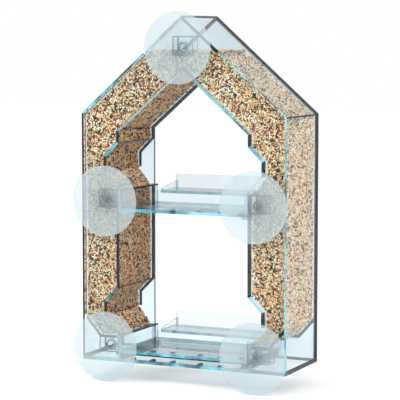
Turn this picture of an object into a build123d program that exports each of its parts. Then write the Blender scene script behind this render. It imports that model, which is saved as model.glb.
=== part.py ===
from build123d import *

import math
import os

# Gravity bird feeder for a window: a house-shaped case of clear acrylic sheet whose hollow gable and side
# columns hold seed, two trays that slide out, a hinged ridge lid and five suction cups.
# Millimetres. X is the width, +Y points outdoors and +Z is up. Heights below are measured from the
# underside of the base and depths from the case's window side. The finished parts are then moved so that
# the origin lies on the window glass at the centre of the top suction cup.

# Case
SHEET = 3.0
WIDTH = 220.0
DEPTH = 84.0
EAVE_HEIGHT = 248.0
RIDGE_HEIGHT = 344.0
COLUMN_WIDTH = 40.0
INNER_EAVE_HEIGHT = 230.0
JOG = 14.3
LIP = 14.3
UPPER_JOG_TOP = 218.7
LOWER_JOG_TOP = 73.4
OPENING_BOTTOM = 9.0
HOPPER_SLOPE_TOP = 44.5
HOPPER_SLOPE_RUN = 16.5
HOPPER_FLOOR_HEIGHT = 26.0

# Trays: heights of the floor's top, the walls' top (the sill) and the perch ledge's top
MID_FLOOR, MID_SILL, MID_PERCH = 154.0, 172.5, 166.0
BOTTOM_FLOOR, BOTTOM_SILL, BOTTOM_PERCH = 12.0, 26.5, 20.2
TRAY_SIDE_GAP = 0.3
PERCH_INSET = 6.0
PERCH_REACH = 39.0
RIM_RISE = 14.3
CHEEK_LOW, CHEEK_HIGH = 2.0, 7.5
FRONT_LIP_HEIGHT = 4.0
PERCH_HOLE_RADIUS, PERCH_HOLE_PITCH, PERCH_HOLES = 1.3, 20.0, 6
# Drain slots run along the depth, three on each side of the middle, behind the front lip
SLOT_WIDTH, SLOT_FROM, SLOT_TO = 2.5, 6.0, 15.0
SLOT_FIRST_X, SLOT_PITCH, SLOTS_PER_SIDE = 15.0, 22.0, 3
RAIL_WIDTH = 8.0
RAIL_END_GAP = 1.0

# Lid: half its span along X, the hinge barrel tangent to the roof, and the pin through it
LID_HALF_SPAN = 39.0
BARREL_RADIUS = 4.0
BARREL_END_GAP = 0.3
PIN_RADIUS = 1.2
PIN_FIT = 0.05
PANEL_PIN_FIT = 0.02
LID_GAP = 0.3
LID_EDGE = 1.2

# Suction cups and the clear boxes that keep seed off their heads
CUP_RADIUS = 35.0
CUP_STANDOFF = 10.0
CUP_EDGE = 1.3
CUP_LAND = 2.0
CUP_HOLLOW = 3.6
HUB_RADIUS = 8.5
HUB_DEPTH = 2.5
NECK_RADIUS = 4.0
CUP_HOLE_RADIUS = 4.2
HEAD_RADIUS = 5.8
HEAD_LENGTH = 5.0
HEAD_STRAIGHT = 2.0
HEAD_GAP = 0.2
CUP_SIDE_X = 79.9
CUP_TOP_Z, CUP_MID_Z, CUP_BOTTOM_Z = 312.8, 161.8, 16.3
SOCKET_WALL = 1.5
SOCKET_DEPTH = 12.0
SOCKET_BELOW = 7.6
SOCKET_ABOVE = 11.5
SOCKET_HALF_WIDTH = 11.0
SOCKET_OUTWARD = 13.0

# Seed
SEED_LEVEL = 311.0
SEED_GAP = 0.4

# Worked out from the dimensions above
HALF_WIDTH = WIDTH / 2
HALF_OPENING = HALF_WIDTH - COLUMN_WIDTH
ROOF_SLOPE = (RIDGE_HEIGHT - EAVE_HEIGHT) / HALF_WIDTH
ROOF_ANGLE = math.atan(ROOF_SLOPE)
INNER_RIDGE_HEIGHT = INNER_EAVE_HEIGHT + ROOF_SLOPE * HALF_OPENING
LIP_X = HALF_OPENING + JOG
INSIDE = (SHEET, DEPTH - SHEET)


def slab(outline, near, far):
    """A solid with an outline of (x, z) points that runs in depth from near to far."""
    face = Face(Wire.make_polygon([Vector(x, near, z) for x, z in outline], close=True))
    return Solid.extrude(face, Vector(0, far - near, 0))


def block(x, y, z):
    """A box between the two values given for each axis."""
    return slab([(x[0], z[0]), (x[1], z[0]), (x[1], z[1]), (x[0], z[1])], y[0], y[1])


def rod(radius, x, z, near, far):
    """A cylinder along the depth."""
    return Solid.make_cylinder(radius, far - near, Plane((x, near, z), z_dir=(0, 1, 0)))


def mirrored(points):
    return [(-x, z) for x, z in points]


def other_side(solid):
    return mirror(solid, about=Plane.YZ)


def offset_path(path, distance):
    """The open path moved to the left of its direction, with mitred corners and square ends."""
    moved = []
    for i, (x, z) in enumerate(path):
        normals = []
        for a, b in zip(path[max(i - 1, 0) : i + 1], path[max(i, 1) : i + 2]):
            length = math.dist(a, b)
            normals.append(((a[1] - b[1]) / length, (b[0] - a[0]) / length))
        nx = sum(n[0] for n in normals) / len(normals)
        nz = sum(n[1] for n in normals) / len(normals)
        scale = distance / (nx * nx + nz * nz)
        moved.append((x + nx * scale, z + nz * scale))
    return moved


def strip(path, thickness, first, last):
    """The outline of a sheet bent along part of a path, with its corners mitred as in the whole path."""
    moved = offset_path(path, thickness)
    return path[first : last + 1] + moved[first : last + 1][::-1]


def roof_point(foot, along, depth):
    """A point from the left roof's surface at x=-foot: along is uphill and depth is into the case."""
    x = -foot + along * math.cos(ROOF_ANGLE) + depth * math.sin(ROOF_ANGLE)
    z = RIDGE_HEIGHT - ROOF_SLOPE * foot + along * math.sin(ROOF_ANGLE) - depth * math.cos(ROOF_ANGLE)
    return x, z


# Outer skin of the left half, from the right eave over the ridge and down to the base
SKIN = [(HALF_WIDTH, EAVE_HEIGHT), (0, RIDGE_HEIGHT), (-HALF_WIDTH, EAVE_HEIGHT), (-HALF_WIDTH, SHEET)]
SKIN_INNER = offset_path(SKIN, SHEET)
# Roof of the open middle and the upper narrowing of the left column
GABLE = [
    (HALF_OPENING, INNER_EAVE_HEIGHT),
    (0, INNER_RIDGE_HEIGHT),
    (-HALF_OPENING, INNER_EAVE_HEIGHT),
    (-HALF_OPENING, UPPER_JOG_TOP),
    (-LIP_X, UPPER_JOG_TOP - JOG),
    (-LIP_X, UPPER_JOG_TOP - JOG - LIP),
]
# Inner wall of the left column below the middle tray's outlet
WALL = [
    (-HALF_OPENING, MID_SILL),
    (-HALF_OPENING, LOWER_JOG_TOP),
    (-LIP_X, LOWER_JOG_TOP - JOG),
    (-LIP_X, LOWER_JOG_TOP - JOG - LIP),
]
# Floor of the left column, from the outer wall to the sill
HOPPER = [
    (-HALF_WIDTH + SHEET, HOPPER_SLOPE_TOP),
    (-HALF_WIDTH + SHEET + HOPPER_SLOPE_RUN, HOPPER_FLOOR_HEIGHT),
    (-HALF_OPENING - SHEET, HOPPER_FLOOR_HEIGHT),
]
HINGE = roof_point(LID_HALF_SPAN, 0, BARREL_RADIUS)
CUPS = {
    "top": (0, CUP_TOP_Z),
    "mid_left": (-CUP_SIDE_X, CUP_MID_Z),
    "mid_right": (CUP_SIDE_X, CUP_MID_Z),
    "bottom_left": (-CUP_SIDE_X, CUP_BOTTOM_Z),
    "bottom_right": (CUP_SIDE_X, CUP_BOTTOM_Z),
}


def front_opening():
    """The window side's opening follows both outlets, and closes off the seed's slope at each."""
    upper_lip = UPPER_JOG_TOP - JOG - LIP
    lower_lip = LOWER_JOG_TOP - JOG - LIP
    left = GABLE[2:] + [
        (-HALF_OPENING, upper_lip - JOG),
        (-HALF_OPENING, LOWER_JOG_TOP),
        (-LIP_X, LOWER_JOG_TOP - JOG),
        (-LIP_X, lower_lip),
        (-HALF_OPENING, lower_lip - JOG),
        (-HALF_OPENING, OPENING_BOTTOM),
    ]
    return [(0, INNER_RIDGE_HEIGHT)] + left + mirrored(left)[::-1]


def back_opening():
    left = [(-HALF_OPENING, INNER_EAVE_HEIGHT), (-HALF_OPENING, OPENING_BOTTOM)]
    return [(0, INNER_RIDGE_HEIGHT)] + left + mirrored(left)[::-1]


def panel(opening, near):
    """A face of the case, held inside the roof, walls and base, with the hinge pin's hole."""
    outline = SKIN_INNER[1:] + mirrored(SKIN_INNER[2:])[::-1]
    solid = slab(outline, near, near + SHEET) - slab(opening, near, near + SHEET)
    return solid - rod(PIN_RADIUS + PANEL_PIN_FIT, *HINGE, near, near + SHEET)


def case_faces():
    front = panel(front_opening(), 0)
    for x, z in CUPS.values():
        front -= rod(CUP_HOLE_RADIUS, x, z, 0, SHEET)
    return {"front_panel": front, "back_panel": panel(back_opening(), DEPTH - SHEET)}


def roof_plate(end):
    """The fixed roof left of the lid. end is how far it stops from the hinge, along the slope."""
    outline = [
        (-HALF_WIDTH, EAVE_HEIGHT),
        roof_point(LID_HALF_SPAN, -end, 0),
        roof_point(LID_HALF_SPAN, -end, SHEET),
        SKIN_INNER[2],
    ]
    return slab(outline, 0, DEPTH)


def lid_plate(end):
    """The left slope of the lid, from the ridge down to end above the hinge, along the slope."""
    outline = [
        (0, RIDGE_HEIGHT),
        roof_point(LID_HALF_SPAN, end, 0),
        roof_point(LID_HALF_SPAN, end, SHEET),
        SKIN_INNER[1],
    ]
    return slab(outline, 0, DEPTH)


def drained(plate, bottom, top):
    """The plate with its row of drain slots."""
    for i in range(SLOTS_PER_SIDE):
        x = SLOT_FIRST_X + i * SLOT_PITCH
        slot = block((x - SLOT_WIDTH / 2, x + SLOT_WIDTH / 2), (SLOT_FROM, SLOT_TO), (bottom, top))
        plate = plate - slot - other_side(slot)
    return plate


def case_skin():
    walls = slab(strip(SKIN, SHEET, 2, 3), 0, DEPTH)
    base = block((-HALF_WIDTH, HALF_WIDTH), (0, DEPTH), (0, SHEET))
    return {
        "base_plate": drained(base, 0, SHEET),
        "outer_wall_left": walls,
        "outer_wall_right": other_side(walls),
        "roof_plate_left": roof_plate(BARREL_RADIUS + LID_GAP),
        "roof_plate_right": other_side(roof_plate(LID_GAP / 2)),
    }


def lid():
    left = lid_plate(LID_EDGE)
    near, far = SHEET + BARREL_END_GAP, DEPTH - SHEET - BARREL_END_GAP
    web = slab(
        [
            roof_point(LID_HALF_SPAN, 0, 0),
            roof_point(LID_HALF_SPAN, LID_EDGE, 0),
            roof_point(LID_HALF_SPAN, LID_EDGE, BARREL_RADIUS),
            roof_point(LID_HALF_SPAN, 0, BARREL_RADIUS),
        ],
        near,
        far,
    )
    barrel = rod(BARREL_RADIUS, *HINGE, near, far) + web
    barrel -= left
    barrel -= rod(PIN_RADIUS + PIN_FIT, *HINGE, near, far)
    return {
        "lid_plate_left": left,
        "lid_plate_right": other_side(lid_plate(-LID_GAP / 2)),
        "hinge_barrel": barrel,
        "hinge_pin": rod(PIN_RADIUS, *HINGE, 0, DEPTH),
    }


def column_plates():
    """The left column's inner plates: gable, upper funnel, lower wall, hopper floor, sill and rails."""
    rail_y = (SHEET + RAIL_END_GAP, DEPTH - SHEET - RAIL_END_GAP)
    rail_x = (-HALF_OPENING, -HALF_OPENING + RAIL_WIDTH)
    return {
        "gable_plate": slab(strip(GABLE, -SHEET, 1, 2), *INSIDE),
        "upper_funnel": slab(strip(GABLE, -SHEET, 2, 5), *INSIDE),
        "lower_wall": slab(strip(WALL, -SHEET, 0, 3), *INSIDE),
        "hopper_floor": slab(hopper_outline(), *INSIDE),
        "sill_wall": block((-HALF_OPENING - SHEET, -HALF_OPENING), INSIDE, (SHEET, BOTTOM_SILL)),
        "mid_rail": block(rail_x, rail_y, (MID_FLOOR - 2 * SHEET, MID_FLOOR - SHEET)),
        "bottom_runner": block(rail_x, rail_y, (SHEET, BOTTOM_FLOOR - SHEET)),
    }


def hopper_outline():
    """The hopper floor's sheet, cut off upright where it meets the outer wall."""
    moved = offset_path(HOPPER, -SHEET)
    slope = (HOPPER[0][1] - HOPPER[1][1]) / HOPPER_SLOPE_RUN
    wall_x = HOPPER[0][0]
    foot = (wall_x, moved[1][1] + (moved[1][0] - wall_x) * slope)
    return HOPPER + [moved[2], moved[1], foot]


def case_columns():
    pieces = {}
    for name, solid in column_plates().items():
        pieces[f"{name}_left"] = solid
        pieces[f"{name}_right"] = other_side(solid)
    return pieces


def tray(name, floor, sill, perch):
    """A tray between the columns, with a perch ledge and rim outside the back of the case."""
    half = HALF_OPENING - TRAY_SIDE_GAP
    between_ends = (-half + SHEET, half - SHEET)
    ledge_half = HALF_OPENING - PERCH_INSET
    rim_y = (DEPTH + PERCH_REACH - SHEET, DEPTH + PERCH_REACH)
    bottom = block((-half, half), (0, DEPTH), (floor - SHEET, floor))
    ledge = block((-ledge_half, ledge_half), (DEPTH, rim_y[0]), (perch - SHEET, perch))
    for i in range(PERCH_HOLES):
        x = (i - (PERCH_HOLES - 1) / 2) * PERCH_HOLE_PITCH
        centre = (x, DEPTH + 2 * PERCH_HOLE_RADIUS, perch - SHEET)
        ledge -= Solid.make_cylinder(PERCH_HOLE_RADIUS, SHEET, Plane(centre))
    end = block((-half, -half + SHEET), (0, DEPTH), (floor, sill))
    corners = [(DEPTH, perch), (rim_y[0], perch), (rim_y[0], perch + CHEEK_HIGH), (DEPTH, perch + CHEEK_LOW)]
    side = Wire.make_polygon([Vector(-ledge_half, y, z) for y, z in corners], close=True)
    cheek = Solid.extrude(Face(side), Vector(SHEET, 0, 0))
    return {
        f"{name}_floor": drained(bottom, floor - SHEET, floor),
        f"{name}_front_lip": block(between_ends, (0, SHEET), (floor, floor + FRONT_LIP_HEIGHT)),
        f"{name}_back_wall": block(between_ends, INSIDE[1:] + (DEPTH,), (floor, perch)),
        f"{name}_end_left": end,
        f"{name}_end_right": other_side(end),
        f"{name}_perch_ledge": ledge,
        f"{name}_perch_rim": block((-ledge_half, ledge_half), rim_y, (perch - SHEET, perch + RIM_RISE)),
        f"{name}_perch_cheek_left": cheek,
        f"{name}_perch_cheek_right": other_side(cheek),
    }


def cap_arc(radius, edge, crown):
    """Three points of a dome's section, from its crown on the axis to its edge."""
    height = crown - edge
    sphere = (radius**2 + height**2) / (2 * height)
    half_turn = math.asin(radius / sphere) / 2
    middle = (sphere * math.sin(half_turn), crown - sphere * (1 - math.cos(half_turn)))
    return (0, crown), middle, (radius, edge)


def suction_cup(x, z):
    """A cup pressed on the glass: thin rim, shallow hollow, hub, neck through the panel and a head behind."""
    head_y = SHEET + HEAD_GAP
    glass = -CUP_STANDOFF
    with BuildSketch(Plane.XY) as half:
        with BuildLine():
            Line((0, glass + CUP_HOLLOW), (0, head_y + HEAD_LENGTH))
            ThreePointArc(*cap_arc(HEAD_RADIUS, head_y + HEAD_STRAIGHT, head_y + HEAD_LENGTH))
            Polyline(
                (HEAD_RADIUS, head_y + HEAD_STRAIGHT),
                (HEAD_RADIUS, head_y),
                (NECK_RADIUS, head_y),
                (NECK_RADIUS, -HEAD_GAP),
                (HUB_RADIUS, -HEAD_GAP),
                (HUB_RADIUS, -HUB_DEPTH),
            )
            Spline(
                (HUB_RADIUS, -HUB_DEPTH),
                (CUP_RADIUS / 2, glass + CUP_HOLLOW + CUP_EDGE),
                (CUP_RADIUS, glass + CUP_EDGE),
            )
            Polyline((CUP_RADIUS, glass + CUP_EDGE), (CUP_RADIUS, glass), (CUP_RADIUS - CUP_LAND, glass))
            ThreePointArc(*cap_arc(CUP_RADIUS - CUP_LAND, glass, glass + CUP_HOLLOW))
        make_face()
    return Pos(x, 0, z) * revolve(half.sketch, Axis.Y)


def cup_socket(x, z):
    """The clear box over a cup's head. A column's inner plate closes the side ones, and the hopper's
    floor is the lid of the bottom ones."""
    low, high = z - SOCKET_BELOW, z + SOCKET_ABOVE
    outward = inward = SOCKET_HALF_WIDTH
    side_wall = lid_wall = SOCKET_WALL
    if x:
        outward = SOCKET_OUTWARD
        inward = CUP_SIDE_X - HALF_OPENING - SHEET
        side_wall = 0
    if z == CUP_MID_Z:
        high = MID_SILL
    if z == CUP_BOTTOM_Z:
        high = HOPPER_FLOOR_HEIGHT - SHEET
        lid_wall = 0
    near, far = SHEET, SHEET + SOCKET_DEPTH
    # drawn on the left, with the column's plate towards +X, and mirrored for the right
    left_x = -abs(x)
    solid = block((left_x - outward, left_x + inward), (near, far), (low, high))
    solid -= block(
        (left_x - outward + SOCKET_WALL, left_x + inward - side_wall),
        (near, far - SOCKET_WALL),
        (low + SOCKET_WALL, high - lid_wall),
    )
    return other_side(solid) if x > 0 else solid


def window_fixings():
    pieces = {}
    for name, (x, z) in CUPS.items():
        pieces[f"suction_cup_{name}"] = suction_cup(x, z)
        pieces[f"cup_socket_{name}"] = cup_socket(x, z)
    return pieces


def seed_outline():
    """The left half's seed: level in the gable, steep free faces at the two outlets, clear of every wall."""
    roof = offset_path(SKIN, SHEET + SEED_GAP)
    gable = offset_path(GABLE, -SHEET - SEED_GAP)
    wall = offset_path(WALL, -SHEET - SEED_GAP)
    hopper = offset_path(HOPPER, SEED_GAP)
    outer_x = roof[2][0]
    slope = (HOPPER[0][1] - HOPPER[1][1]) / HOPPER_SLOPE_RUN
    level_x = -(roof[1][1] - SEED_LEVEL) / ROOF_SLOPE
    sill_x = -HALF_OPENING - SHEET - SEED_GAP
    return [
        (-SEED_GAP, SEED_LEVEL),
        (level_x, SEED_LEVEL),
        roof[2],
        (outer_x, hopper[1][1] + (hopper[1][0] - outer_x) * slope),
        hopper[1],
        (sill_x, hopper[2][1]),
        (wall[3][0], wall[3][1] - SEED_GAP),
        wall[2],
        wall[1],
        (sill_x, MID_SILL - SEED_GAP),
        (gable[5][0], gable[5][1] - SEED_GAP),
        gable[4],
        gable[3],
        gable[2],
        (-SEED_GAP, gable[1][1]),
    ]


def seed_fill():
    """Each half's seed, cut clear of the hinge barrel and the cups' boxes."""
    near, far = SHEET + SEED_GAP, DEPTH - SHEET - SEED_GAP
    left = slab(seed_outline(), near, far)
    left -= rod(BARREL_RADIUS + SEED_GAP, *HINGE, near, far)
    for x, z in (CUPS["top"], CUPS["mid_left"]):
        left -= block(
            (x - SOCKET_OUTWARD - SEED_GAP, x + SOCKET_HALF_WIDTH + SEED_GAP),
            (near, SHEET + SOCKET_DEPTH + SEED_GAP),
            (z - SOCKET_BELOW - SEED_GAP, z + SOCKET_ABOVE + SEED_GAP),
        )
    return {"seed_left": left, "seed_right": other_side(left)}


def all_pieces():
    pieces = {}
    pieces.update(case_faces())
    pieces.update(case_skin())
    pieces.update(case_columns())
    pieces.update(lid())
    pieces.update(tray("mid_tray", MID_FLOOR, MID_SILL, MID_PERCH))
    pieces.update(tray("bottom_tray", BOTTOM_FLOOR, BOTTOM_SILL, BOTTOM_PERCH))
    pieces.update(window_fixings())
    pieces.update(seed_fill())
    return pieces


os.makedirs("parts", exist_ok=True)
for node, shape in all_pieces().items():
    export_step(Pos(0, CUP_STANDOFF, -CUP_TOP_Z) * shape, f"parts/{node}.step")
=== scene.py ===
"""Looks of a clear acrylic bird feeder that hangs on a window: sheet, suction cups and loose seed."""
import math

import bmesh
import bpy
import numpy as np
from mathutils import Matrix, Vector


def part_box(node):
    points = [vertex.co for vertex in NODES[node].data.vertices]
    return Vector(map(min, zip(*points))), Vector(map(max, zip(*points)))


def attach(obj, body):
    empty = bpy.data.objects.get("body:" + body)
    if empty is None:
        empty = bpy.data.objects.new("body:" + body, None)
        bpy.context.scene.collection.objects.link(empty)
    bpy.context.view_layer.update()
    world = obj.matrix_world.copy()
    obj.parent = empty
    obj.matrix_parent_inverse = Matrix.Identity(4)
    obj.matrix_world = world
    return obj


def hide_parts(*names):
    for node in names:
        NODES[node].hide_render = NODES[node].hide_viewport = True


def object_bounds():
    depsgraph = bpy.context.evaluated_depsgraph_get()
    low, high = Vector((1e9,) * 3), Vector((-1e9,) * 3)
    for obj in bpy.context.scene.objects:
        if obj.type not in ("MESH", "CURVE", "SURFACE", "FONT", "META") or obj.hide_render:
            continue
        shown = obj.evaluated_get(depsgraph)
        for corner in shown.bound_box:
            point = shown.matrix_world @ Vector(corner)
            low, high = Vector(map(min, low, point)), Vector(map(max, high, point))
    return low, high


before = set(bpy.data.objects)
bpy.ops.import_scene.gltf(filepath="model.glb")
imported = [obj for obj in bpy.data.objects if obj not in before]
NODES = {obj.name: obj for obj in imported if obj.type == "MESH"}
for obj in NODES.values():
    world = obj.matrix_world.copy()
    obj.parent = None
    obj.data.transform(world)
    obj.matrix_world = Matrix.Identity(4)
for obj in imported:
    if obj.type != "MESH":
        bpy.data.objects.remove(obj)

CAD_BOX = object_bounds()
CUPS = ("top", "mid_left", "mid_right", "bottom_left", "bottom_right")
# widths in metres of the painted line along a sheet's cut end: painted refraction and shade where the real
# sheet shows its edge by refraction
EDGE_LINE = 0.0014
FULL_EDGE_LINE = 0.0024
SOCKET_LINE = 0.0013
# size of the patches of painted shade and refraction colour along a long edge, as a noise scale
EDGE_PATCHES = 30.0

# ------------------------------------------------------------------ node helpers


def material_tree(name):
    material = bpy.data.materials.new(name)
    material.use_nodes = True
    material.node_tree.nodes.clear()
    return material, material.node_tree


def join(tree, source, target):
    tree.links.new(source, target)


def noise(tree, coords, scale, detail=3.0, roughness=0.55):
    node = tree.nodes.new("ShaderNodeTexNoise")
    node.inputs["Scale"].default_value = scale
    node.inputs["Detail"].default_value = detail
    node.inputs["Roughness"].default_value = roughness
    join(tree, coords, node.inputs["Vector"])
    return node.outputs["Fac"]


def ramp(tree, factor, stops, interpolation="LINEAR"):
    """A colour ramp; stops are (position, (r, g, b))."""
    node = tree.nodes.new("ShaderNodeValToRGB")
    node.color_ramp.interpolation = interpolation
    elements = node.color_ramp.elements
    while len(elements) < len(stops):
        elements.new(0.5)
    for element, (position, colour) in zip(elements, stops):
        element.position = position
        element.color = (*colour, 1.0)
    join(tree, factor, node.inputs["Fac"])
    return node.outputs["Color"]


def remap(tree, value, low, high, from_low=0.3, from_high=0.7):
    node = tree.nodes.new("ShaderNodeMapRange")
    node.inputs["From Min"].default_value = from_low
    node.inputs["From Max"].default_value = from_high
    node.inputs["To Min"].default_value = low
    node.inputs["To Max"].default_value = high
    join(tree, value, node.inputs["Value"])
    return node.outputs["Result"]


def maths(tree, operation, first, second=None):
    node = tree.nodes.new("ShaderNodeMath")
    node.operation = operation
    for socket, value in zip(node.inputs, (first, second)):
        if value is None:
            continue
        if isinstance(value, (int, float)):
            socket.default_value = value
        else:
            join(tree, value, socket)
    return node.outputs["Value"]


def bump(tree, height, strength, distance):
    node = tree.nodes.new("ShaderNodeBump")
    node.inputs["Strength"].default_value = strength
    node.inputs["Distance"].default_value = distance
    join(tree, height, node.inputs["Height"])
    return node.outputs["Normal"]


def sheen_factor(tree, straight_on, gain=1.0):
    """How much a polished face mirrors: little straight on, more at a glancing angle."""
    weight = tree.nodes.new("ShaderNodeLayerWeight")
    weight.inputs["Blend"].default_value = 0.5
    curve = maths(tree, "POWER", weight.outputs["Facing"], 5.0)
    scaled = maths(tree, "MULTIPLY", curve, (1.0 - straight_on) * gain)
    return maths(tree, "ADD", scaled, straight_on)


def mix(tree, factor, first, second):
    node = tree.nodes.new("ShaderNodeMixShader")
    if isinstance(factor, (int, float)):
        node.inputs["Fac"].default_value = factor
    else:
        join(tree, factor, node.inputs["Fac"])
    join(tree, first, node.inputs[1])
    join(tree, second, node.inputs[2])
    return node.outputs["Shader"]


def output(tree, shader):
    node = tree.nodes.new("ShaderNodeOutputMaterial")
    join(tree, shader, node.inputs["Surface"])


def object_coords(tree):
    return tree.nodes.new("ShaderNodeTexCoord").outputs["Object"]


def component(tree, coords, axis):
    node = tree.nodes.new("ShaderNodeSeparateXYZ")
    join(tree, coords, node.inputs[0])
    return node.outputs[axis]


def distance_from_middle(tree, coords):
    """Sideways distance from the feeder's centre line."""
    return maths(tree, "ABSOLUTE", component(tree, coords, "X"))


def vector_maths(tree, operation, first, constant):
    node = tree.nodes.new("ShaderNodeVectorMath")
    node.operation = operation
    node.inputs[1].default_value = constant
    join(tree, first, node.inputs[0])
    return node


def transparent(tree, colour):
    node = tree.nodes.new("ShaderNodeBsdfTransparent")
    node.inputs["Color"].default_value = (*colour, 1.0)
    return node.outputs[0]


# ------------------------------------------------------------------ materials


def edge_refraction_shader(tree, coords, stops, patch_scale):
    """Painted refraction and shade on a sawn and polished edge: noisy patches of black, teal and cyan over
    the sheet's own blue-green edge tint stand in for what the edge shows by refraction.
    """
    body = tree.nodes.new("ShaderNodeBsdfPrincipled")
    body.inputs["Specular IOR Level"].default_value = 0.12
    patches = noise(tree, coords, patch_scale, 3.0, 0.6)
    join(tree, ramp(tree, patches, stops), body.inputs["Base Color"])
    saw_marks = noise(tree, coords, 420.0, 2.0)
    join(tree, remap(tree, saw_marks, 0.08, 0.3), body.inputs["Roughness"])
    join(tree, bump(tree, saw_marks, 0.15, 0.0002), body.inputs["Normal"])
    return body.outputs[0]


def sheet_shader(tree, coords, pale, deep, straight_on, gain):
    """Polished clear acrylic: a faint blue tint that varies a little, with smears in the polish."""
    tint = ramp(tree, noise(tree, coords, 14.0, 2.0), ((0.3, pale), (0.75, deep)))
    clear = tree.nodes.new("ShaderNodeBsdfTransparent")
    join(tree, tint, clear.inputs["Color"])
    gloss = tree.nodes.new("ShaderNodeBsdfGlossy")
    smears = noise(tree, coords, 90.0, 5.0, 0.65)
    join(tree, remap(tree, smears, 0.01, 0.09), gloss.inputs["Roughness"])
    join(tree, bump(tree, smears, 0.06, 0.0004), gloss.inputs["Normal"])
    return mix(tree, sheen_factor(tree, straight_on, gain), clear.outputs[0], gloss.outputs[0])


def within(tree, coords, direction, plane, width):
    """One near a plane and beyond it, falling to nothing a width further in."""
    along = vector_maths(tree, "DOT_PRODUCT", coords, direction).outputs["Value"]
    return remap(tree, along, 0.0, 1.0, plane - width, plane - 0.75 * width)


def height_band(tree, coords, low, high, reach=None):
    """One between two heights, and no further than a reach from the middle if one is given."""
    height = component(tree, coords, "Z")
    soft = 0.2 * (high - low)
    above = remap(tree, height, 0.0, 1.0, low, low + soft)
    below = remap(tree, height, 1.0, 0.0, high - soft, high)
    between = maths(tree, "MULTIPLY", above, below)
    if reach is None:
        return between
    sideways = distance_from_middle(tree, coords)
    return maths(tree, "MULTIPLY", between, remap(tree, sideways, 1.0, 0.0, reach - 0.0005, reach))


def clear_sheet(name, pale, deep, straight_on=0.04, gain=1.0, lines=(), bands=()):
    """Clear acrylic; lines are (direction, plane, width, edge colours), painted refraction and shade where
    an edge shows through.

    A line with no colours is only a margin with no gloss, and the seed's refraction colours paint the seed
    as seen through the edge.
    Bands are painted shade: dark lines between two heights, with or without a reach from the middle."""
    material, tree = material_tree(name)
    coords = object_coords(tree)
    shader = sheet_shader(tree, coords, pale, deep, straight_on, gain)
    for direction, plane, width, stops in lines:
        factor = within(tree, coords, direction, plane, width)
        if stops is SEED_REFRACTION_COLOURS:
            strip = seed_refraction_shader(tree, coords, SEED_FOOT)
        elif stops:
            strip = edge_refraction_shader(tree, coords, stops, EDGE_PATCHES)
        else:
            strip = sheet_shader(tree, coords, pale, deep, 0.0, 0.0)
        shader = mix(tree, factor, shader, strip)
    for band in bands:
        dark = edge_refraction_shader(tree, coords, PAINTED_SHADE_STOPS, EDGE_PATCHES)
        shader = mix(tree, height_band(tree, coords, *band), shader, dark)
    output(tree, shader)
    return material


def cut_edge(name, stops, patch_scale, clearness):
    """An edge painted with one band of refraction colour or shade over its whole depth."""
    material, tree = material_tree(name)
    coords = object_coords(tree)
    clear = transparent(tree, (0.8, 0.92, 0.95))
    output(tree, mix(tree, clearness, edge_refraction_shader(tree, coords, stops, patch_scale), clear))
    return material


def seed_refraction_shader(tree, coords, seed_above):
    """Painted refraction: an edge beside the seed is painted with the seed's colours as seen through it,
    with painted shade between grains, and below a height it stays clear.
    """
    clear = transparent(tree, (0.90, 0.96, 0.98))
    refracted_seed = tree.nodes.new("ShaderNodeBsdfDiffuse")
    fleck = noise(tree, coords, 620.0, 2.0, 0.6)
    join(tree, ramp(tree, fleck, SEED_REFRACTION_COLOURS), refracted_seed.inputs["Color"])
    height = component(tree, coords, "Z")
    seed_refraction_mask = remap(tree, height, 0.0, 0.85, seed_above, seed_above + 0.002)
    return mix(tree, seed_refraction_mask, clear, refracted_seed.outputs[0])


def outlined_edge(name, face, stops, seed_above, dark_middle=False, width=EDGE_LINE):
    """A wall's cut end: a painted refraction line at one face, and the seed painted beside it as seen
    through the edge.

    The face is a (direction, plane). With a dark middle, the 10 mm each side of the feeder's centre line
    are painted shade all through."""
    material, tree = material_tree(name)
    coords = object_coords(tree)
    line = within(tree, coords, *face, width)
    inside = seed_refraction_shader(tree, coords, seed_above)
    shader = mix(tree, line, inside, edge_refraction_shader(tree, coords, stops, EDGE_PATCHES))
    if dark_middle:
        middle = remap(tree, distance_from_middle(tree, coords), 1.0, 0.0, 0.010, 0.013)
        shader = mix(tree, middle, shader, edge_refraction_shader(tree, coords, PAINTED_SHADE_STOPS, EDGE_PATCHES))
    output(tree, shader)
    return material


def seam_edge(name, seed_above):
    """The front panel's outer edge, closed against the walls, painted with the seed as seen through it by
    refraction.
    """
    material, tree = material_tree(name)
    output(tree, seed_refraction_shader(tree, object_coords(tree), seed_above))
    return material


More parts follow.
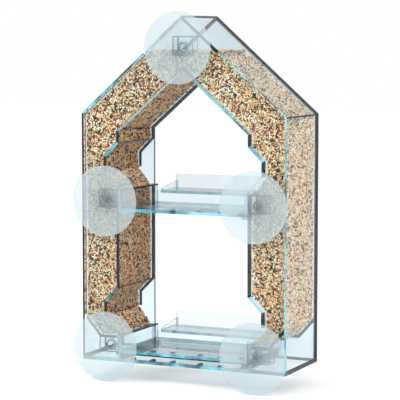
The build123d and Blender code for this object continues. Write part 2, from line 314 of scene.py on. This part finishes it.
def milky_rubber(name, centre, head_tint):
    """Soft vinyl of a suction cup: cloudy and pale blue grey, clearer in the middle."""
    material, tree = material_tree(name)
    coords = object_coords(tree)
    offset = vector_maths(tree, "SUBTRACT", coords, centre).outputs["Vector"]
    flat = vector_maths(tree, "MULTIPLY", offset, (1.0, 0.0, 1.0)).outputs["Vector"]
    radius = vector_maths(tree, "LENGTH", flat, (0.0, 0.0, 0.0)).outputs["Value"]
    clouds = noise(tree, coords, 60.0, 4.0, 0.6)
    colour = ramp(tree, clouds, ((0.3, (0.56, 0.62, 0.645)), (0.7, (0.62, 0.68, 0.70))))
    diffuse = tree.nodes.new("ShaderNodeBsdfDiffuse")
    join(tree, colour, diffuse.inputs["Color"])
    through = tree.nodes.new("ShaderNodeBsdfTranslucent")
    join(tree, colour, through.inputs["Color"])
    moulding_rings = maths(tree, "SINE", maths(tree, "MULTIPLY", radius, 2600.0))
    rings = bump(tree, moulding_rings, 0.10, 0.0003)
    join(tree, rings, diffuse.inputs["Normal"])
    body = mix(tree, 0.08, diffuse.outputs[0], through.outputs[0])
    clear = tree.nodes.new("ShaderNodeBsdfTransparent")
    head = remap(tree, component(tree, coords, "Y"), 0.0, 1.0, 0.012, 0.014)
    join(tree, ramp(tree, head, ((0.0, (0.88, 0.94, 0.96)), (1.0, head_tint))), clear.inputs["Color"])
    cloudiness = remap(tree, radius, 0.15, 0.31, 0.006, 0.018)
    shell = mix(tree, cloudiness, clear.outputs[0], body)
    # painted shade: a dark ring at the rim of the head, where its side wall shows dark by refraction through
    # the cup
    head_rim_shade = maths(tree, "MULTIPLY", head, remap(tree, radius, 0.0, 0.9, 0.0046, 0.0052))
    shell = mix(tree, head_rim_shade, shell, edge_refraction_shader(tree, coords, PAINTED_SHADE_STOPS, EDGE_PATCHES))
    gloss = tree.nodes.new("ShaderNodeBsdfGlossy")
    gloss.inputs["Roughness"].default_value = 0.14
    join(tree, rings, gloss.inputs["Normal"])
    output(tree, mix(tree, sheen_factor(tree, 0.03, 0.4), shell, gloss.outputs[0]))
    return material


def brushed_pin(name):
    """Drawn steel, with marks that run along the depth."""
    material, tree = material_tree(name)
    coords = object_coords(tree)
    stretch = tree.nodes.new("ShaderNodeMapping")
    stretch.inputs["Scale"].default_value = (1.0, 0.05, 1.0)
    join(tree, coords, stretch.inputs["Vector"])
    marks = noise(tree, stretch.outputs["Vector"], 3000.0, 2.0)
    metal = tree.nodes.new("ShaderNodeBsdfPrincipled")
    metal.inputs["Metallic"].default_value = 1.0
    join(tree, ramp(tree, marks, ((0.3, (0.42, 0.43, 0.44)), (0.7, (0.62, 0.63, 0.64)))),
         metal.inputs["Base Color"])
    join(tree, remap(tree, marks, 0.22, 0.4), metal.inputs["Roughness"])
    output(tree, metal.outputs[0])
    return material


def husk(name, stops, grain_scale, roughness):
    """One kind of seed: each grain takes its own tone, with fine speckle on its husk."""
    material, tree = material_tree(name)
    coords = object_coords(tree)
    tone = noise(tree, coords, 330.0, 1.0)
    speckle = noise(tree, coords, grain_scale, 4.0, 0.7)
    both = maths(tree, "ADD", maths(tree, "MULTIPLY", tone, 0.75), maths(tree, "MULTIPLY", speckle, 0.25))
    body = tree.nodes.new("ShaderNodeBsdfPrincipled")
    join(tree, ramp(tree, both, stops), body.inputs["Base Color"])
    join(tree, remap(tree, speckle, roughness - 0.1, roughness + 0.1), body.inputs["Roughness"])
    join(tree, bump(tree, speckle, 0.3, 0.0003), body.inputs["Normal"])
    output(tree, body.outputs[0])
    return material


def studio_floor(name):
    """A plain pale floor, with a little light of its own to keep its shadow soft."""
    material, tree = material_tree(name)
    coords = object_coords(tree)
    grain = noise(tree, coords, 6.0, 3.0)
    matt = tree.nodes.new("ShaderNodeBsdfDiffuse")
    shades = ((0.2, (0.93, 0.93, 0.93)), (0.8, (0.96, 0.96, 0.96)))
    join(tree, ramp(tree, grain, shades), matt.inputs["Color"])
    lift = tree.nodes.new("ShaderNodeEmission")
    lift.inputs["Strength"].default_value = 0.12
    both = tree.nodes.new("ShaderNodeAddShader")
    join(tree, matt.outputs[0], both.inputs[0])
    join(tree, lift.outputs[0], both.inputs[1])
    output(tree, both.outputs[0])
    return material


# painted refraction on cut edges: black is painted shade where an edge shows dark by refraction; teal, cyan
# and pale are partly the acrylic edge's own blue-green tint, partly painted refraction
BLACK = (0.006, 0.008, 0.010)
TEAL = (0.02, 0.17, 0.21)
CYAN = (0.16, 0.58, 0.70)
PALE = (0.55, 0.70, 0.76)
PAINTED_SHADE_STOPS = ((0.30, BLACK), (0.66, BLACK), (0.76, TEAL))
TEAL_STOPS = ((0.36, BLACK), (0.50, TEAL), (0.64, CYAN))
CYAN_STOPS = ((0.30, BLACK), (0.37, TEAL), (0.50, CYAN), (0.75, PALE))
PALE_STOPS = ((0.28, TEAL), (0.42, PALE), (0.70, (0.75, 0.84, 0.88)))
# painted refraction: the seed's colours as seen through a cut edge, with a near-black stop as painted shade
# between grains
SEED_REFRACTION_COLOURS = ((0.38, (0.03, 0.018, 0.012)), (0.48, (0.40, 0.23, 0.10)), (0.60, (0.72, 0.58, 0.39)))
# sheets that touch in the CAD are drawn in by this sliver, so that both faces are seen
HAIRLINE = 0.00003
SEED_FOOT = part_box("hopper_floor_left")[1].z
SEED_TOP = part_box("seed_left")[1].z

# each line is (direction, plane, width, edge colours): the colours paint refraction and shade along a
# sheet's edges
WALL_LOW, WALL_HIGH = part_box("outer_wall_left")
FRONT_LINE = ((0.0, -1.0, 0.0), -WALL_LOW.y, 0.0010, TEAL_STOPS)
BACK_MARGIN = ((0.0, 1.0, 0.0), WALL_HIGH.y, 0.0095, None)
BACK_LINE = ((0.0, 1.0, 0.0), WALL_HIGH.y, 0.0040, PAINTED_SHADE_STOPS)
FOOT_LINE = ((0.0, 0.0, -1.0), -WALL_LOW.z, 0.0019, PAINTED_SHADE_STOPS)
EAVE_LINE = ((0.0, 0.0, 1.0), WALL_HIGH.z, 0.0019, PAINTED_SHADE_STOPS)
RIDGE_LINE = ((0.0, 0.0, 1.0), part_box("lid_plate_right")[1].z, 0.0024, PAINTED_SHADE_STOPS)
# painted refraction: the seed painted on the wall's inner face near the front
SEED_REFRACTION_STRIP = ((0.0, -1.0, 0.0), -WALL_LOW.y, 0.004, SEED_REFRACTION_COLOURS)
PANEL_HEIGHTS = [vertex.co.z for vertex in NODES["front_panel"].data.vertices]
SILL = min(height for height in PANEL_HEIGHTS if height > WALL_LOW.z + 0.004)
# painted shade: a dark line between two heights, as far to each side as the inner gable reaches
SILL_LINE = (SILL - 0.0013, SILL + 0.001, abs(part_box("gable_plate_right")[1].x))

FRONT_TINTS = ((0.955, 0.980, 0.988), (0.935, 0.968, 0.980))
INNER_TINTS = ((0.970, 0.985, 0.990), (0.950, 0.972, 0.980))
# tints, then how much the sheet mirrors straight on and how strongly that grows at a glancing angle
INNER_LOOK = (*INNER_TINTS, 0.015, 0.15)
COLUMN_LOOK = ((0.920, 0.900, 0.880), (0.880, 0.850, 0.820), 0.008, 0.06)
FRONT = clear_sheet("acrylic_front", *FRONT_TINTS, 0.008, 0.35, (), (SILL_LINE,))
BACK = clear_sheet("acrylic_back", (0.860, 0.925, 0.950), (0.830, 0.905, 0.938))
INNER = clear_sheet("acrylic_inner", *INNER_LOOK)
WALL_INNER = clear_sheet("acrylic_wall_inner", *INNER_LOOK, (SEED_REFRACTION_STRIP,))
COLUMN = clear_sheet("acrylic_column", *COLUMN_LOOK)
WALL = clear_sheet("acrylic_wall", (0.962, 0.982, 0.988), (0.945, 0.972, 0.982), 0.04, 1.35,
                   (FRONT_LINE, BACK_MARGIN, BACK_LINE, FOOT_LINE, EAVE_LINE))
ROOF = clear_sheet("acrylic_roof", (0.930, 0.965, 0.980), (0.910, 0.950, 0.970), 0.04, 0.8,
                   (FRONT_LINE, BACK_MARGIN, BACK_LINE, RIDGE_LINE))
FLOOR = clear_sheet("acrylic_floor", (0.945, 0.968, 0.978), (0.920, 0.950, 0.964))
TRAY = clear_sheet("acrylic_tray", (0.880, 0.930, 0.948), (0.835, 0.905, 0.930))
PERCH = clear_sheet("acrylic_perch", (0.885, 0.915, 0.930), (0.855, 0.893, 0.912))
# cut edge materials: painted refraction colours and painted shade, and the seam with the seed painted as
# seen through it
EDGES = {
    "dark": cut_edge("edge_dark", PAINTED_SHADE_STOPS, 30.0, 0.06),
    "teal": cut_edge("edge_teal", TEAL_STOPS, 36.0, 0.18),
    "cyan": cut_edge("edge_cyan", CYAN_STOPS, 30.0, 0.25),
    "pale": cut_edge("edge_pale", PALE_STOPS, 60.0, 0.55),
    "seam": seam_edge("edge_seam", SEED_FOOT),
}
# every acrylic piece has the same slots: its face, the edges in this order, an outlined end, an inner face
EDGE_ORDER = ("dark", "teal", "cyan", "pale", "seam")
OUTLINED_SLOT = 1 + len(EDGE_ORDER)
INNER_SLOT = 2 + len(EDGE_ORDER)
# a face counts as slanted when it turns from both the sides and the top by more than this
SLANTED = 0.3

# ------------------------------------------------------------------ acrylic pieces


def dress_sheet(name, is_edge, palette, face=FRONT, outlined=None, side=0, inner=INNER):
    """Give one CAD piece the clear face material, and its cut edges their own.

    With a side of -1 or 1, the faces turned away from that side are inner faces."""
    piece = NODES[name]
    mesh = piece.data
    mesh.materials.clear()
    mesh.materials.append(face)
    for key in EDGE_ORDER:
        mesh.materials.append(EDGES[key])
    mesh.materials.append(outlined or INNER)
    mesh.materials.append(inner)
    for polygon in mesh.polygons:
        normal = polygon.normal
        polygon.use_smooth = False
        if not is_edge(normal):
            polygon.material_index = INNER_SLOT if normal[0] * side < -0.3 else 0
        elif outlined and normal[1] < -0.9:
            polygon.material_index = OUTLINED_SLOT
        else:
            polygon.material_index = 1 + EDGE_ORDER.index(palette(normal, polygon.center))
    hairline = piece.modifiers.new("hairline", "DISPLACE")
    hairline.mid_level = 0.0
    hairline.strength = -HAIRLINE


def outer_plane(name, side):
    """The (direction, plane) of a plate's largest face on one side."""
    best = max(
        (polygon for polygon in NODES[name].data.polygons if polygon.normal[0] * side > 0.5),
        key=lambda polygon: polygon.area,
    )
    direction = tuple(best.normal)
    return direction, best.center.dot(best.normal)


def off_axis(axis):
    """Every face but the two that look along the axis is an edge."""
    return lambda normal: abs(normal[axis]) < 0.9


def along_depth(normal):
    return abs(normal[1]) > 0.9


def always(key):
    return lambda normal, centre: key


def is_slanted(normal):
    return abs(normal[0]) > SLANTED and abs(normal[2]) > SLANTED


def front_palette(normal, centre):
    """The front panel: outer edges close against the walls and take the painted seed refraction, the
    opening's slants are painted cyan refraction, other edges painted teal or dark shade.
    """
    faces_out = normal[0] * centre[0] > 0 and normal[2] > -0.1 and abs(normal[0]) > SLANTED
    if faces_out and centre[2] < SEED_TOP:
        return "seam"
    if is_slanted(normal):
        return "cyan"
    if abs(normal[2]) > 0.9:
        return "teal"
    return "dark"


def end_palette(front, back):
    """Front ends of a plate in one painted refraction colour, back ends in another."""
    return lambda normal, centre: front if normal[1] < 0 else back


def jogged_palette(top, bottom):
    """Column plates: upright runs are painted dark shade at their ends, the slanted jog between them painted
    cyan refraction.
    """
    return lambda normal, centre: "cyan" if bottom < centre[2] < top and normal[1] < 0 else "dark"


# painted refraction: top faces painted dark shade, other edges pale
def top_palette(normal, centre):
    return "dark" if normal[2] > 0.9 else "pale"


# painted refraction: the tray floor's front and back ends cyan, its other edges dark shade
def tray_floor_palette(normal, centre):
    return "cyan" if abs(normal[1]) > 0.9 else "dark"


def dress_socket(name):
    """A clear box whose corners and rims are painted as dark lines: painted shade where the real box shows
    its edges by refraction.
    """
    low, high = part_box(name)
    corners = tuple(
        (direction, plane, SOCKET_LINE, PAINTED_SHADE_STOPS)
        for direction, plane in (
            ((-1.0, 0.0, 0.0), -low.x),
            ((1.0, 0.0, 0.0), high.x),
            ((0.0, 0.0, -1.0), -low.z),
            ((0.0, 0.0, 1.0), high.z),
        )
    )
    far_corner = (((0.0, 1.0, 0.0), high.y, SOCKET_LINE, PAINTED_SHADE_STOPS),)
    tint = ((0.965, 0.982, 0.988), (0.945, 0.970, 0.980))
    across = clear_sheet(f"{name}_across", *tint, 0.015, 0.15, corners)
    along = clear_sheet(f"{name}_along", *tint, 0.015, 0.15, far_corner)
    dress_sheet(name, along_depth, always("dark"), along, across)
    for polygon in NODES[name].data.polygons:
        if abs(polygon.normal[1]) > 0.9:
            polygon.material_index = OUTLINED_SLOT


def jog_span(name):
    """Top and bottom of the slanted run of a column plate."""
    mesh = NODES[name].data
    slanted = [polygon for polygon in mesh.polygons if is_slanted(polygon.normal)]
    widest = max(slanted, key=lambda polygon: polygon.area)
    heights = [mesh.vertices[index].co.z for index in widest.vertices]
    return max(heights), min(heights)


dress_sheet("front_panel", off_axis(1), front_palette)
dress_sheet("back_panel", off_axis(1), always("dark"), BACK)
dress_sheet("base_plate", off_axis(2), end_palette("teal", "dark"))
for side, sign in (("left", -1), ("right", 1)):
    wall_stops = PAINTED_SHADE_STOPS if side == "left" else TEAL_STOPS
    end_line = FULL_EDGE_LINE if side == "left" else EDGE_LINE
    wall_face, roof_face = outer_plane(f"outer_wall_{side}", sign), outer_plane(f"roof_plate_{side}", sign)
    wall_end = outlined_edge(f"edge_wall_{side}", wall_face, wall_stops, SEED_FOOT, False, end_line)
    roof_end = outlined_edge(f"edge_roof_{side}", roof_face, TEAL_STOPS, SEED_FOOT, False, end_line)
    dress_sheet(f"outer_wall_{side}", off_axis(0), always("dark"), WALL, wall_end, sign, WALL_INNER)
    dress_sheet(f"sill_wall_{side}", off_axis(0), top_palette, INNER)
    dress_sheet(f"mid_rail_{side}", off_axis(2), always("pale"), INNER)
    dress_sheet(f"bottom_runner_{side}", off_axis(2), always("dark"), INNER)
    dress_sheet(f"roof_plate_{side}", along_depth, always("dark"), ROOF, roof_end, sign, WALL_INNER)
    gable = f"gable_plate_{side}"
    gable_end = outlined_edge(f"edge_gable_{side}", outer_plane(gable, -sign), CYAN_STOPS, SEED_FOOT, True)
    dress_sheet(gable, along_depth, always("dark"), COLUMN, gable_end)
    for plate, thickness in ((f"upper_funnel_{side}", 0.0018), (f"lower_wall_{side}", 0.0010)):
        top, bottom = jog_span(plate)
        # painted shade: a dark band along the fold at the top of the slanted jog
        fold = ((top - thickness, top),)
        folded = clear_sheet(f"acrylic_{plate}", *COLUMN_LOOK, (), fold)
        dress_sheet(plate, along_depth, jogged_palette(top, bottom), folded)
    dress_sheet(f"hopper_floor_{side}", along_depth, always("dark"), INNER)
lid_end = outlined_edge("edge_lid_left", outer_plane("lid_plate_left", -1), TEAL_STOPS, SEED_TOP)
dress_sheet("lid_plate_left", along_depth, always("dark"), ROOF, lid_end, -1)
dress_sheet("lid_plate_right", along_depth, always("dark"), ROOF, None, 1)
dress_sheet("hinge_barrel", along_depth, always("dark"), INNER)
for tray, thickness in (("mid_tray", 0.0019), ("bottom_tray", 0.0014)):
    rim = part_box(f"{tray}_end_left")[1].z
    # painted shade: a dark band along the rim of the tray's end walls
    rimmed = clear_sheet(f"acrylic_{tray}_end", *INNER_LOOK, (), ((rim - thickness, rim + 0.001),))
    dress_sheet(f"{tray}_floor", off_axis(2), tray_floor_palette, FLOOR)
    dress_sheet(f"{tray}_front_lip", off_axis(1), always("pale"), TRAY)
    dress_sheet(f"{tray}_back_wall", off_axis(1), always("pale"), TRAY)
    dress_sheet(f"{tray}_perch_ledge", off_axis(2), always("pale"), PERCH)
    dress_sheet(f"{tray}_perch_rim", off_axis(1), always("pale"), PERCH)
    for side in ("left", "right"):
        dress_sheet(f"{tray}_end_{side}", off_axis(0), top_palette, rimmed)
        dress_sheet(f"{tray}_perch_cheek_{side}", off_axis(0), always("pale"), PERCH)
for spot in CUPS:
    dress_socket(f"cup_socket_{spot}")

# ------------------------------------------------------------------ cups and pin

for spot in CUPS:
    cup = NODES[f"suction_cup_{spot}"]
    low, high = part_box(f"suction_cup_{spot}")
    middle = ((low.x + high.x) / 2, 0.0, (low.z + high.z) / 2)
    cup.data.materials.clear()
    head_tint = (0.50, 0.80, 0.92) if spot == "top" else (0.84, 0.94, 0.97)
    cup.data.materials.append(milky_rubber(f"cup_{spot}", middle, head_tint))
    for polygon in cup.data.polygons:
        polygon.use_smooth = abs(polygon.normal[1]) < 0.98

pin = NODES["hinge_pin"]
pin.data.materials.clear()
pin.data.materials.append(brushed_pin("pin_steel"))

# ------------------------------------------------------------------ loose seed

RANDOM = np.random.default_rng(20)
# how far the bulk lies behind the outer grains, and the side of a cell in which grains look for neighbours
CORE_DEPTH = 0.0009
CELL = 0.0035


def grain_shape(pointed, rough, rings, around):
    """A unit grain as rings of points: round, drawn out to a tip, or chipped."""
    points = [(0.0, 0.0, 1.0)]
    for ring in range(1, rings + 1):
        polar = math.pi * ring / (rings + 1)
        pull = 1.0 - pointed * 0.45 * (1.0 + math.cos(polar)) / 2
        for step in range(around):
            turn = 2 * math.pi * (step + 0.5 * (ring % 2)) / around
            points.append((math.sin(polar) * math.cos(turn) * pull,
                           math.sin(polar) * math.sin(turn) * pull,
                           math.cos(polar)))
    points.append((0.0, 0.0, -1.0))
    points = np.array(points)
    points *= 1.0 + rough * (RANDOM.random((len(points), 1)) - 0.5)
    faces = []
    last = len(points) - 1
    for step in range(around):
        following = (step + 1) % around
        faces.append((0, 1 + step, 1 + following))
        for ring in range(rings - 1):
            start = 1 + ring * around
            below = start + around
            faces.append((start + step, below + step, start + following))
            faces.append((start + following, below + step, below + following))
        start = 1 + (rings - 1) * around
        faces.append((start + step, last, start + following))
    return points, np.array(faces)


# name, half length, half width, half thickness (m), share of the surface, pointed, rough, rings, points
# round, husk colours, speckle scale, roughness
KINDS = (
    ("sunflower", 0.0023, 0.0012, 0.0010, 0.05, 1.0, 0.05, 3, 6,
     ((0.35, (0.010, 0.009, 0.009)), (0.62, (0.03, 0.028, 0.028)), (0.72, (0.26, 0.23, 0.20))), 900.0, 0.45),
    ("safflower", 0.0019, 0.0011, 0.0010, 0.10, 0.8, 0.08, 3, 6,
     ((0.30, (0.84, 0.71, 0.50)), (0.70, (0.98, 0.93, 0.78))), 700.0, 0.40),
    ("cracked_corn", 0.0015, 0.0012, 0.0009, 0.15, 0.0, 0.55, 3, 5,
     ((0.30, (0.66, 0.27, 0.09)), (0.55, (0.92, 0.52, 0.20)), (0.75, (0.95, 0.72, 0.40))), 500.0, 0.5),
    ("milo", 0.0012, 0.0012, 0.0011, 0.17, 0.0, 0.10, 2, 6,
     ((0.30, (0.38, 0.12, 0.05)), (0.55, (0.72, 0.32, 0.17)), (0.75, (0.86, 0.52, 0.32))), 600.0, 0.42),
    ("canary", 0.0016, 0.0009, 0.0008, 0.18, 0.5, 0.05, 3, 5,
     ((0.30, (0.76, 0.56, 0.31)), (0.70, (0.96, 0.82, 0.56))), 800.0, 0.35),
    ("rape", 0.0009, 0.0009, 0.0008, 0.13, 0.0, 0.05, 2, 5,
     ((0.35, (0.010, 0.008, 0.008)), (0.70, (0.07, 0.045, 0.04))), 900.0, 0.4),
    ("millet", 0.0010, 0.0010, 0.0009, 0.32, 0.0, 0.05, 2, 6,
     ((0.30, (0.88, 0.73, 0.46)), (0.70, (0.98, 0.93, 0.72))), 900.0, 0.32),
)
# grains wanted for each share of the surface, and how closely two may lie, as a share of their sizes
GRAIN_COVER = 1.4
GRAIN_SPACING = 0.63
# grains may stand out from the CAD solid's box by this much, inside the gap left to the sheet
TOUCH = Vector((0.00035, 0.00035, 0.0))


def surface_samples(mesh, count):
    """Random points over a closed mesh, with the outward direction at each."""
    mesh.calc_loop_triangles()
    corners = np.empty(len(mesh.vertices) * 3)
    mesh.vertices.foreach_get("co", corners)
    corners = corners.reshape(-1, 3)
    triangles = np.empty(len(mesh.loop_triangles) * 3, dtype=np.int32)
    mesh.loop_triangles.foreach_get("vertices", triangles)
    a, b, c = (corners[index] for index in triangles.reshape(-1, 3).T)
    crossed = np.cross(b - a, c - a)
    doubled_area = np.linalg.norm(crossed, axis=1)
    chosen = RANDOM.choice(len(a), size=count, p=doubled_area / doubled_area.sum())
    u = np.sqrt(RANDOM.random(count))[:, None]
    v = RANDOM.random(count)[:, None]
    spots = (1 - u) * a[chosen] + u * (1 - v) * b[chosen] + u * v * c[chosen]
    return spots, crossed[chosen] / doubled_area[chosen][:, None], doubled_area.sum() / 2


def pack_grains(mesh):
    """Fill the surface with grains, larger kinds first, each clear of those already there."""
    taken = {}
    packed = {}
    for kind in KINDS:
        name, long_half, wide_half, _, share = kind[:5]
        reach = 0.5 * (long_half + wide_half)
        _, _, area = surface_samples(mesh, 1)
        target = int(GRAIN_COVER * share * area / (math.pi * long_half * wide_half))
        spots, outward, _ = surface_samples(mesh, target * (2 if share < 0.2 else 4))
        kept = []
        for index, spot in enumerate(spots):
            key = tuple(int(value) for value in np.floor(spot / CELL))
            if any(
                (spot[0] - other[0]) ** 2 + (spot[1] - other[1]) ** 2 + (spot[2] - other[2]) ** 2
                < (GRAIN_SPACING * (reach + other[3])) ** 2
                for x in (-1, 0, 1) for y in (-1, 0, 1) for z in (-1, 0, 1)
                for other in taken.get((key[0] + x, key[1] + y, key[2] + z), ())
            ):
                continue
            taken.setdefault(key, []).append((*spot, reach))
            kept.append(index)
            if len(kept) >= target:
                break
        packed[name] = (spots[kept], outward[kept])
    return packed


def frames_on(outward):
    """For each grain: its long axis and broad axis lie roughly in the surface."""
    count = len(outward)
    loose = outward + 0.35 * RANDOM.normal(size=(count, 3))
    thin = loose / np.linalg.norm(loose, axis=1)[:, None]
    long_axis = np.cross(thin, RANDOM.normal(size=(count, 3)))
    long_axis /= np.linalg.norm(long_axis, axis=1)[:, None]
    broad = np.cross(long_axis, thin)
    return np.stack((broad, thin, long_axis), axis=2)


def build_grains(name, kind, spots, outward, low, high):
    """One mesh of all the grains of a kind, kept inside a box."""
    _, long_half, wide_half, thin_half = kind[:4]
    shape, faces = grain_shape(*kind[5:9])
    size = 0.85 + 0.3 * RANDOM.random((len(spots), 1, 1))
    scaled = shape * np.array((wide_half, thin_half, long_half)) * size
    centres = spots - outward * (thin_half * (1.0 + 0.5 * RANDOM.random((len(spots), 1))))
    points = np.einsum("nij,nvj->nvi", frames_on(outward), scaled) + centres[:, None, :]
    points = np.clip(points, np.array(low), np.array(high)).reshape(-1, 3)
    indices = (faces[None] + (np.arange(len(spots)) * len(shape))[:, None, None]).reshape(-1, 3)
    mesh = bpy.data.meshes.new(name)
    mesh.vertices.add(len(points))
    mesh.vertices.foreach_set("co", points.ravel())
    mesh.loops.add(indices.size)
    mesh.loops.foreach_set("vertex_index", indices.ravel())
    mesh.polygons.add(len(indices))
    mesh.polygons.foreach_set("loop_start", np.arange(len(indices)) * 3)
    mesh.polygons.foreach_set("use_smooth", np.ones(len(indices), dtype=bool))
    mesh.update(calc_edges=True)
    grains = bpy.data.objects.new(name, mesh)
    bpy.context.scene.collection.objects.link(grains)
    return grains


def seed_core(name, source):
    """The bulk behind the outer grains: the CAD solid, drawn in from all its faces."""
    shape = bmesh.new()
    shape.from_mesh(source.data)
    bmesh.ops.remove_doubles(shape, verts=shape.verts, dist=1e-6)
    bmesh.ops.recalc_face_normals(shape, faces=shape.faces)
    for vertex in shape.verts:
        pull = Vector()
        for face in vertex.link_faces:
            if all(face.normal.dot(other) < 0.99 for other in earlier_directions(vertex, face)):
                pull += face.normal
        vertex.co = vertex.co - pull * CORE_DEPTH
    mesh = bpy.data.meshes.new(name)
    shape.to_mesh(mesh)
    shape.free()
    core = bpy.data.objects.new(name, mesh)
    bpy.context.scene.collection.objects.link(core)
    return core


def earlier_directions(vertex, face):
    """Directions of the faces round a corner that come before this one."""
    found = []
    for other in vertex.link_faces:
        if other == face:
            break
        found.append(other.normal)
    return found


HUSKS = {kind[0]: husk(f"husk_{kind[0]}", *kind[9:12]) for kind in KINDS}
# the seed bulk behind the outer grains, in seed colours darkened to painted shade so the gaps between grains
# read as shadow
BULK_SHADE_STOPS = (
    (0.34, (0.015, 0.009, 0.006)),
    (0.50, (0.16, 0.085, 0.042)),
    (0.66, (0.60, 0.41, 0.23)),
)
BULK_SHADE = husk("seed_bulk_shade", BULK_SHADE_STOPS, 700.0, 0.7)
for side in ("left", "right"):
    source = NODES[f"seed_{side}"]
    low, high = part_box(f"seed_{side}")
    packed = pack_grains(source.data)
    core = seed_core(f"seed_core_{side}", source)
    core.data.materials.append(BULK_SHADE)
    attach(core, "case")
    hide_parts(f"seed_{side}")
    for kind in KINDS:
        spots, outward = packed[kind[0]]
        grains = build_grains(f"grains_{kind[0]}_{side}", kind, spots, outward, low - TOUCH, high + TOUCH)
        grains.data.materials.append(HUSKS[kind[0]])
        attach(grains, "case")

# ------------------------------------------------------------------ floor, light and camera


def make_floor(height, half):
    """A square floor, half its side given."""
    shape = bmesh.new()
    bmesh.ops.create_grid(shape, x_segments=4, y_segments=4, size=half)
    mesh = bpy.data.meshes.new("floor")
    shape.to_mesh(mesh)
    shape.free()
    floor = bpy.data.objects.new("floor", mesh)
    floor.location.z = height
    bpy.context.scene.collection.objects.link(floor)
    mesh.materials.append(studio_floor("pale_floor"))


def soft_light(name, place, target, size, power):
    lamp = bpy.data.lights.new(name, "AREA")
    lamp.shape = "SQUARE"
    lamp.size = size
    lamp.energy = power
    holder = bpy.data.objects.new(name, lamp)
    holder.visible_glossy = False
    holder.location = place
    holder.rotation_euler = (Vector(target) - Vector(place)).to_track_quat("-Z", "Y").to_euler()
    bpy.context.scene.collection.objects.link(holder)


def aim_camera(target, azimuth, elevation, distance, lens):
    """A camera at a distance from its target, with angles in degrees."""
    side = math.radians(azimuth)
    rise = math.radians(elevation)
    away = Vector((math.sin(side) * math.cos(rise), -math.cos(side) * math.cos(rise), math.sin(rise)))
    view = bpy.data.cameras.new("view")
    view.lens = lens
    view.sensor_width = 36.0
    view.clip_start = 0.05
    view.clip_end = 50.0
    holder = bpy.data.objects.new("view", view)
    holder.location = Vector(target) + away * distance
    holder.rotation_euler = away.to_track_quat("Z", "Y").to_euler()
    bpy.context.scene.collection.objects.link(holder)
    bpy.context.scene.camera = holder


FLOOR_GAP = 0.0005
FEEDER_MIDDLE = (0.0, 0.05, -0.15)
make_floor(CAD_BOX[0][2] - FLOOR_GAP, 6.0)
soft_light("key", (-0.9, -1.3, 1.1), FEEDER_MIDDLE, 0.9, 19.0)
soft_light("fill", (1.4, -0.9, 0.5), FEEDER_MIDDLE, 1.1, 10.0)

world = bpy.data.worlds.new("studio")
world.use_nodes = True
backdrop = world.node_tree.nodes["Background"]
backdrop.inputs["Color"].default_value = (1.0, 1.0, 1.0, 1.0)
backdrop.inputs["Strength"].default_value = 1.0
scene = bpy.context.scene
scene.world = world
scene.view_settings.view_transform = "Standard"
scene.view_settings.look = "None"
# many clear sheets lie one behind another
scene.cycles.transparent_max_bounces = 64
scene.cycles.max_bounces = 10

aim_camera(target=(0.01989, 0.010, -0.14681), azimuth=24.93, elevation=5.43, distance=1.67794, lens=155.86)
